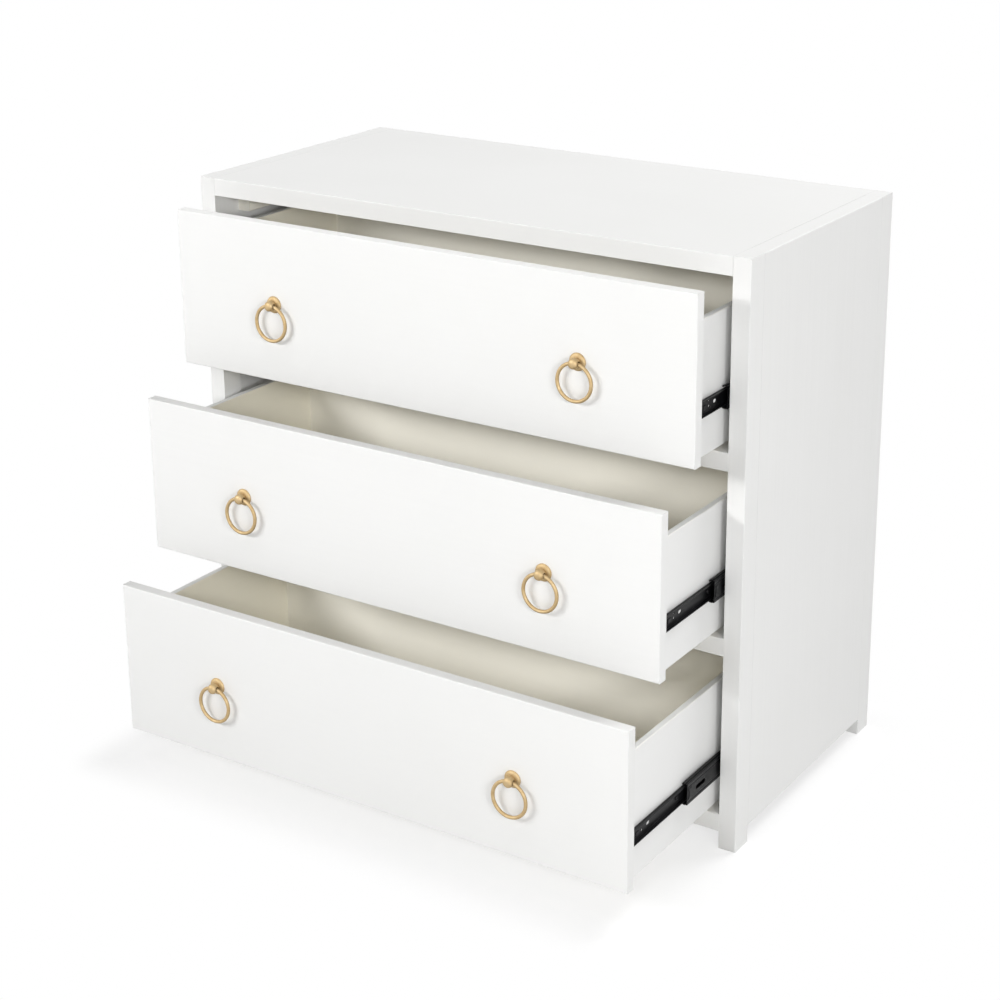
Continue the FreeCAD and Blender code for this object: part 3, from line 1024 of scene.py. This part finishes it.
# %% A tree that sets screws
screw_tree, made, links, given, output = node_tree("screw_heads", [
    ("Places", "NodeSocketGeometry"), ("Head", "NodeSocketObject"), ("Head Radius", "NodeSocketFloat"),
    ("Seed", "NodeSocketInt"), ("Finish", "NodeSocketMaterial")])
pattern = made.new("GeometryNodeObjectInfo")
facing = made.new("GeometryNodeInputNamedAttribute")
facing.data_type = "FLOAT_VECTOR"
facing.inputs["Name"].default_value = "facing"
aim = made.new("FunctionNodeAlignRotationToVector")
aim.axis = "Z"
chance = made.new("FunctionNodeRandomValue")
chance.data_type = "FLOAT"
turn = made.new("FunctionNodeAxisAngleToRotation")
turned_aim = made.new("FunctionNodeRotateRotation")
turned_aim.rotation_space = "LOCAL"
set_heads = made.new("GeometryNodeInstanceOnPoints")
turn.inputs["Axis"].default_value = (0, 0, 1)
chance_max = [socket for socket in chance.inputs if socket.name == "Max" and socket.type == "VALUE"][0]
chance_max.default_value = math.tau
chance_value = [socket for socket in chance.outputs if socket.type == "VALUE"][0]
links.new(given.outputs["Head"], pattern.inputs["Object"])
links.new(facing.outputs["Attribute"], aim.inputs["Vector"])
links.new(given.outputs["Seed"], chance.inputs["Seed"])
links.new(chance_value, turn.inputs["Angle"])
links.new(aim.outputs["Rotation"], turned_aim.inputs["Rotation"])
links.new(turn.outputs["Rotation"], turned_aim.inputs["Rotate By"])
links.new(given.outputs["Places"], set_heads.inputs["Points"])
links.new(pattern.outputs["Geometry"], set_heads.inputs["Instance"])
links.new(turned_aim.outputs["Rotation"], set_heads.inputs["Rotation"])
links.new(given.outputs["Head Radius"], set_heads.inputs["Scale"])
end_tree(made, links, set_heads.outputs["Instances"], given, output)
print("screw tree inputs:", [socket.name for socket in screw_tree.interface.items_tree])

# %% Screws in the drawers
large_head, small_head = 3.6 * mm, 3.2 * mm
front_screw_reach, front_screw_rise = 0.80, 0.55
slide_screw_places = (118, 215, 250)


def drive_screws(name, places, head_radius, finish, seed, body):
    """Screw heads at (place, facing) pairs, riding a body."""
    screws = grow(name, screw_tree, {"Head": pan_head, "Head Radius": head_radius, "Seed": seed,
                                     "Finish": finish}, places)
    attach(screws, body)


for number, level in enumerate(levels):
    body = "drawer_" + level
    low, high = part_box("drawer_subfront_" + level)
    post_low, post_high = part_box("pull_posts_" + level)
    pull_reach = post_high.x - (post_high.z - post_low.z) / 2
    pull_height = (post_low.z + post_high.z) / 2
    middle_height, half_height = (low.z + high.z) / 2, (high.z - low.z) / 2
    places = []
    for side in sides.values():
        places.append((Vector((side * pull_reach, high.y, pull_height)), (0, 1, 0)))
        for rise in (-front_screw_rise, front_screw_rise):
            spot = Vector((side * front_screw_reach * high.x, high.y, middle_height + rise * half_height))
            places.append((spot, (0, 1, 0)))
    drive_screws("front_screws_" + level, places, large_head, zinc, number, body)
    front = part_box("slide_drawer_" + level)[0].y
    slide_places = [(spot_on(side, level)(strip, front + back * mm, 0), (side, 0, 0))
                    for side in sides.values() for back in slide_screw_places]
    drive_screws("slide_screws_" + level, slide_places, small_head, black_steel, number, body)
print("screws in a drawer:", len(places) + len(slide_places))

# %% [markdown]
# ## Back board
# The back board lies in a rabbet of the rear posts and is screwed along its edge. Its screws must not stand
# proud of the board, so they sit in shallow counterbores. A copy of the solid board is merged to one skin,
# then the counterbores are cut out of it.

# %% Places round the back board
edge_inset = 7 * mm
rows_up, rows_along = 5, 5


def evenly(first, last, count):
    """Evenly spaced places between two edges, kept an inset away from both."""
    run = last - first - 2 * edge_inset
    return [round(first + edge_inset + run * step / (count - 1), 5) for step in range(count)]


low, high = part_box("back_panel")
along, up = evenly(low.x, high.x, rows_along), evenly(low.z, high.z, rows_up)
edge_spots = [(x, z) for x in along for z in up if x in (along[0], along[-1]) or z in (up[0], up[-1])]
print("places along the edge:", len(edge_spots))

# %% Back board and its screws
bore_radius, bore_depth, bore_steps = 4.0 * mm, 2.6 * mm, 24
same_corner = 0.01 * mm
board_sharp_angle = 3
back_seed = 7

board, bores = bmesh.new(), bmesh.new()
board.from_mesh(nodes["back_panel"].data)
bmesh.ops.remove_doubles(board, verts=board.verts, dist=same_corner)
for x, z in edge_spots:
    place = Matrix.Translation((x, high.y, z)) @ Matrix.Rotation(math.pi / 2, 4, "X")
    bmesh.ops.create_cone(bores, cap_ends=True, segments=bore_steps, radius1=bore_radius,
                          radius2=bore_radius, depth=2 * bore_depth, matrix=place)
back_board = add_piece("back_board", cut_away(board, bores), lacquer["Z"], board_sharp_angle)
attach(back_board, "case")
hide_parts("back_panel")
places = [(Vector((x, high.y - bore_depth, z)), (0, 1, 0)) for x, z in edge_spots]
drive_screws("back_screws", places, small_head, zinc, back_seed, "case")
print("back screws:", len(places))

# %% [markdown]
# ## Cleat screws
# The top is held from below, so that no screw shows on it: two go up through each cleat. Their heads use the
# same tree and face downwards. The pattern head has then done its work and is removed.

# %% Screws in the cleats
half_cleat, cleat_screw_inset = 10 * mm, 40 * mm
cleat_seed = 11

low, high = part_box("top_cleats")
cleat_middle = high.x - half_cleat
places = [(Vector((side * cleat_middle, y, low.z)), (0, 0, -1))
          for side in sides.values() for y in (low.y + cleat_screw_inset, high.y - cleat_screw_inset)]
drive_screws("cleat_screws", places, large_head, zinc, cleat_seed, "case")
bpy.data.objects.remove(pan_head)
print("cleat screws:", len(places))
